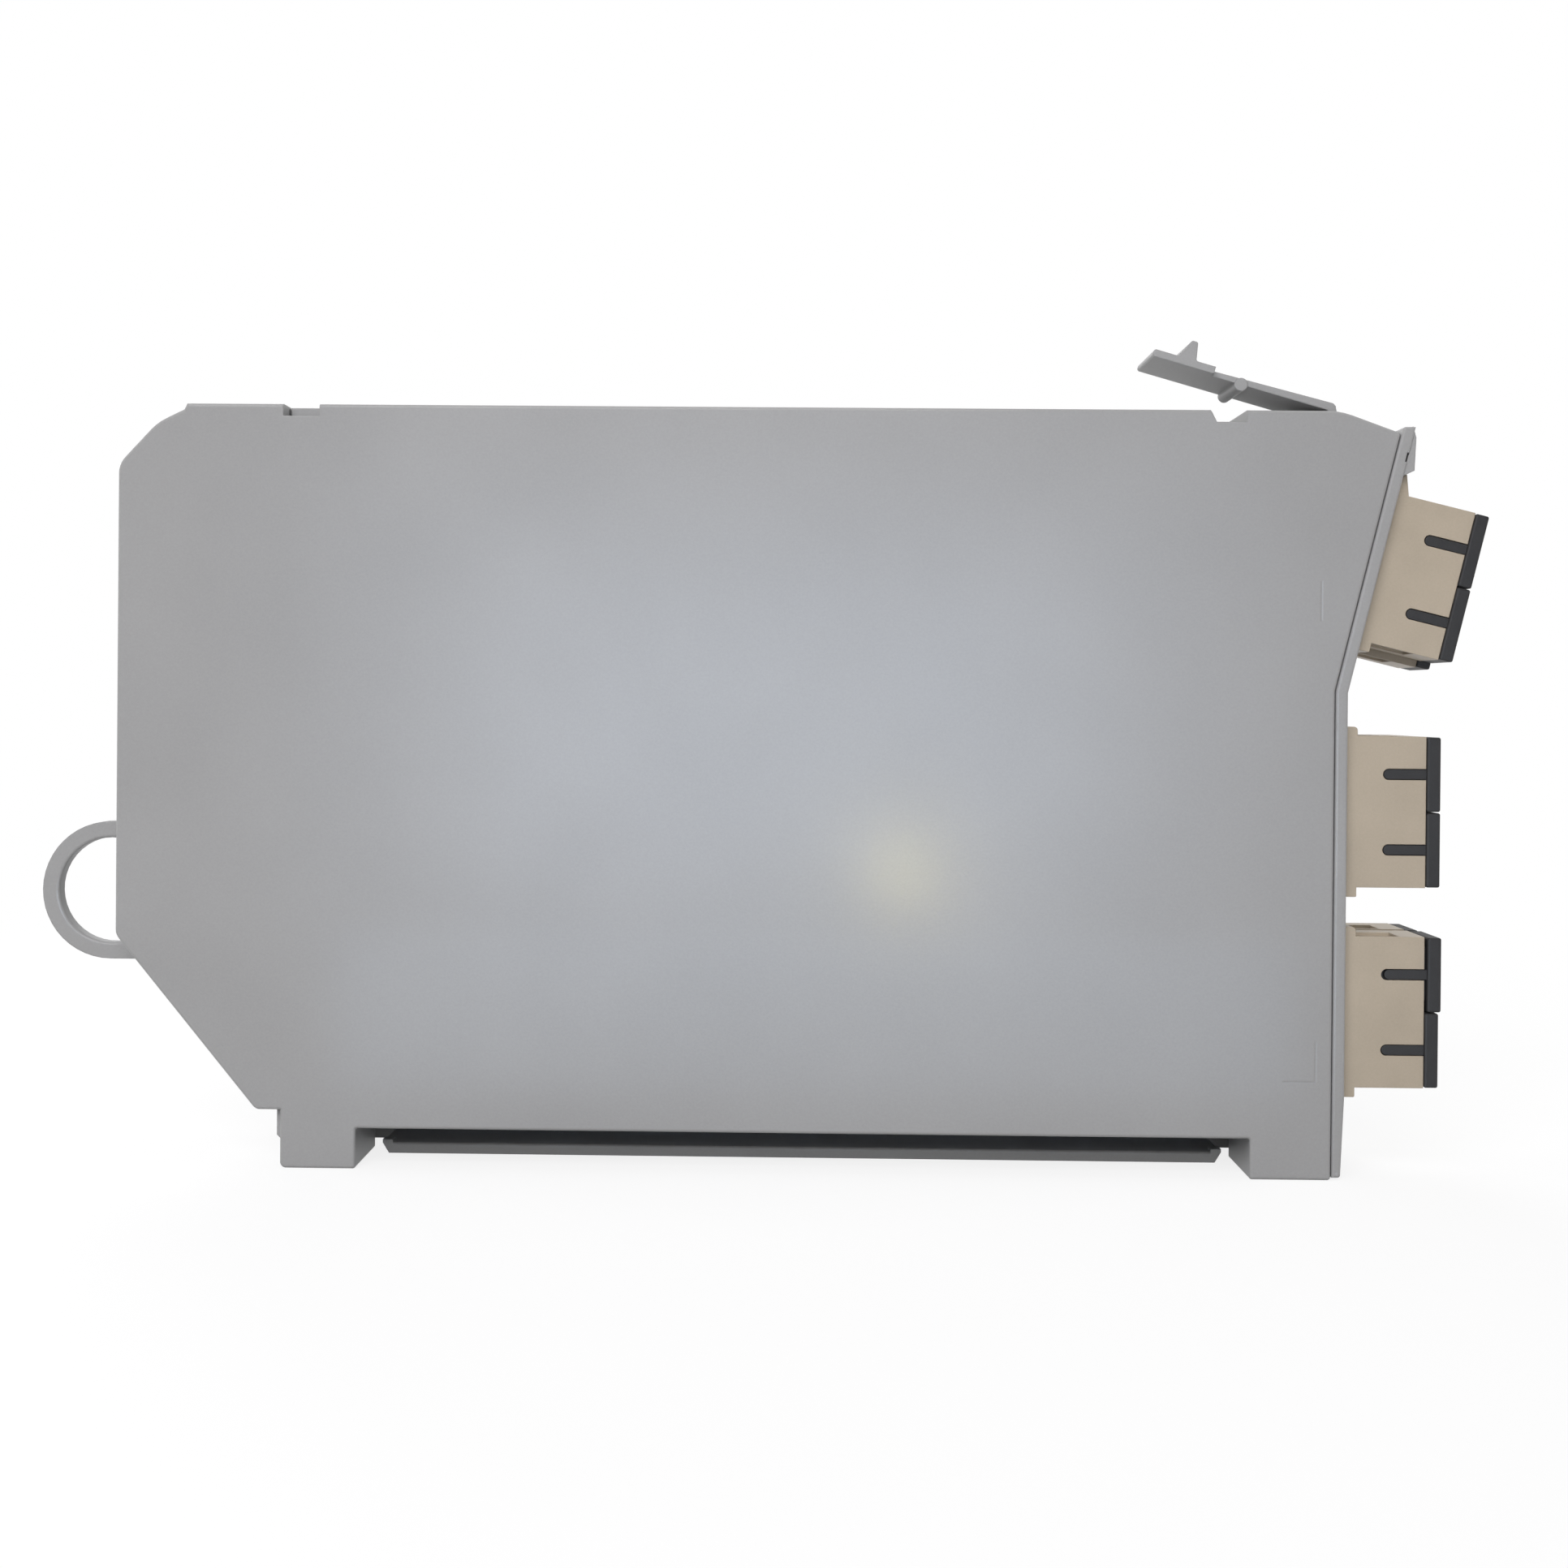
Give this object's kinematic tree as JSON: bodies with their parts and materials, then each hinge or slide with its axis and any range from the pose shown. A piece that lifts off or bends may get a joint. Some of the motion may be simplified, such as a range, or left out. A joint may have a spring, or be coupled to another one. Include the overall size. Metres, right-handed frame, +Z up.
{
  "type": "fibre coupler module",
  "caption": "Flat plug-in fibre coupler cassette with a bent front panel of capped adapters, a sprung top latch, a rear finger eye and a guide rail along the bottom.",
  "frame": {"origin": "on the underside of the guide rail, in the middle of the case's thickness", "axes": "+X to the front panel, +Y to the cover side away from the viewer of the plain side, +Z up to the latch"},
  "size_m": [0.2467, 0.025, 0.14],
  "materials": {
    "case_grey": "fine satin moulding",
    "adapter_beige": "satin moulding",
    "dust_plug_grey": "soft matt",
    "clip_steel": "rolled",
    "sleeve_ceramic": "ground",
    "plug_beige": "satin moulding",
    "coupler_steel": "drawn tube",
    "fibre_jacket": "smooth buffer",
    "holder_grey": "plain moulding"
  },
  "bodies": {
    "module": {"case_body": "case_grey", "side_cover": "case_grey", "front_panel": "case_grey", "coupler_clip_front": "holder_grey", "coupler_clip_rear": "holder_grey", "sleeve_holders_upper": "adapter_beige", "adapter_upper_near": "adapter_beige", "adapter_clip_upper_near": "clip_steel", "sleeves_upper_near": "sleeve_ceramic", "pigtail_plug_upper_near_a": "plug_beige", "pigtail_plug_upper_near_b": "plug_beige", "adapter_upper_far": "adapter_beige", "adapter_clip_upper_far": "clip_steel", "sleeves_upper_far": "sleeve_ceramic", "pigtail_plug_upper_far_a": "plug_beige", "pigtail_plug_upper_far_b": "plug_beige", "sleeve_holders_middle": "adapter_beige", "adapter_middle_near": "adapter_beige", "adapter_clip_middle_near": "clip_steel", "sleeves_middle_near": "sleeve_ceramic", "pigtail_plug_middle_near_a": "plug_beige", "pigtail_plug_middle_near_b": "plug_beige", "adapter_middle_far": "adapter_beige", "adapter_clip_middle_far": "clip_steel", "sleeves_middle_far": "sleeve_ceramic", "pigtail_plug_middle_far_a": "plug_beige", "pigtail_plug_middle_far_b": "plug_beige", "sleeve_holders_lower": "adapter_beige", "adapter_lower_near": "adapter_beige", "adapter_clip_lower_near": "clip_steel", "sleeves_lower_near": "sleeve_ceramic", "pigtail_plug_lower_near_a": "plug_beige", "pigtail_plug_lower_near_b": "plug_beige", "adapter_lower_far": "adapter_beige", "adapter_clip_lower_far": "clip_steel", "sleeves_lower_far": "sleeve_ceramic", "pigtail_plug_lower_far_a": "plug_beige", "pigtail_plug_lower_far_b": "plug_beige", "coupler_tube_upper_near": "coupler_steel", "pigtail_fibres_upper_near": "fibre_jacket", "coupler_tube_upper_far": "coupler_steel", "pigtail_fibres_upper_far": "fibre_jacket", "coupler_tube_lower_near": "coupler_steel", "pigtail_fibres_lower_near": "fibre_jacket", "coupler_tube_lower_far": "coupler_steel", "pigtail_fibres_lower_far": "fibre_jacket"},
    "latch": {"latch_arm": "case_grey"},
    "dust_plug_upper_near_a_body": {"dust_plug_upper_near_a": "dust_plug_grey"},
    "dust_plug_upper_near_b_body": {"dust_plug_upper_near_b": "dust_plug_grey"},
    "dust_plug_upper_far_a_body": {"dust_plug_upper_far_a": "dust_plug_grey"},
    "dust_plug_upper_far_b_body": {"dust_plug_upper_far_b": "dust_plug_grey"},
    "dust_plug_middle_near_a_body": {"dust_plug_middle_near_a": "dust_plug_grey"},
    "dust_plug_middle_near_b_body": {"dust_plug_middle_near_b": "dust_plug_grey"},
    "dust_plug_middle_far_a_body": {"dust_plug_middle_far_a": "dust_plug_grey"},
    "dust_plug_middle_far_b_body": {"dust_plug_middle_far_b": "dust_plug_grey"},
    "dust_plug_lower_near_a_body": {"dust_plug_lower_near_a": "dust_plug_grey"},
    "dust_plug_lower_near_b_body": {"dust_plug_lower_near_b": "dust_plug_grey"},
    "dust_plug_lower_far_a_body": {"dust_plug_lower_far_a": "dust_plug_grey"},
    "dust_plug_lower_far_b_body": {"dust_plug_lower_far_b": "dust_plug_grey"}
  },
  "joints": [
    {"name": "latch_press", "type": "hinge", "parent": "module", "child": "latch", "pos_m": [0.10075, -0.00375, 0.1269], "axis": [0, -1, 0], "range_deg": [0, 12], "stiffness_Nm_per_rad": 0.05},
    {"name": "dust_plug_upper_near_a_pull", "type": "slide", "parent": "module", "child": "dust_plug_upper_near_a_body", "axis": [0.9715, 0, -0.2368], "range_m": [0, 0.014]},
    {"name": "dust_plug_upper_near_b_pull", "type": "slide", "parent": "module", "child": "dust_plug_upper_near_b_body", "axis": [0.9715, 0, -0.2368], "range_m": [0, 0.014]},
    {"name": "dust_plug_upper_far_a_pull", "type": "slide", "parent": "module", "child": "dust_plug_upper_far_a_body", "axis": [0.9715, 0, -0.2368], "range_m": [0, 0.014]},
    {"name": "dust_plug_upper_far_b_pull", "type": "slide", "parent": "module", "child": "dust_plug_upper_far_b_body", "axis": [0.9715, 0, -0.2368], "range_m": [0, 0.014]},
    {"name": "dust_plug_middle_near_a_pull", "type": "slide", "parent": "module", "child": "dust_plug_middle_near_a_body", "axis": [1, 0, 0], "range_m": [0, 0.014]},
    {"name": "dust_plug_middle_near_b_pull", "type": "slide", "parent": "module", "child": "dust_plug_middle_near_b_body", "axis": [1, 0, 0], "range_m": [0, 0.014]},
    {"name": "dust_plug_middle_far_a_pull", "type": "slide", "parent": "module", "child": "dust_plug_middle_far_a_body", "axis": [1, 0, 0], "range_m": [0, 0.014]},
    {"name": "dust_plug_middle_far_b_pull", "type": "slide", "parent": "module", "child": "dust_plug_middle_far_b_body", "axis": [1, 0, 0], "range_m": [0, 0.014]},
    {"name": "dust_plug_lower_near_a_pull", "type": "slide", "parent": "module", "child": "dust_plug_lower_near_a_body", "axis": [1, 0, 0], "range_m": [-0.0004, 0.014]},
    {"name": "dust_plug_lower_near_b_pull", "type": "slide", "parent": "module", "child": "dust_plug_lower_near_b_body", "axis": [1, 0, 0], "range_m": [0, 0.014]},
    {"name": "dust_plug_lower_far_a_pull", "type": "slide", "parent": "module", "child": "dust_plug_lower_far_a_body", "axis": [1, 0, 0], "range_m": [0, 0.014]},
    {"name": "dust_plug_lower_far_b_pull", "type": "slide", "parent": "module", "child": "dust_plug_lower_far_b_body", "axis": [1, 0, 0], "range_m": [0, 0.014]}
  ]
}
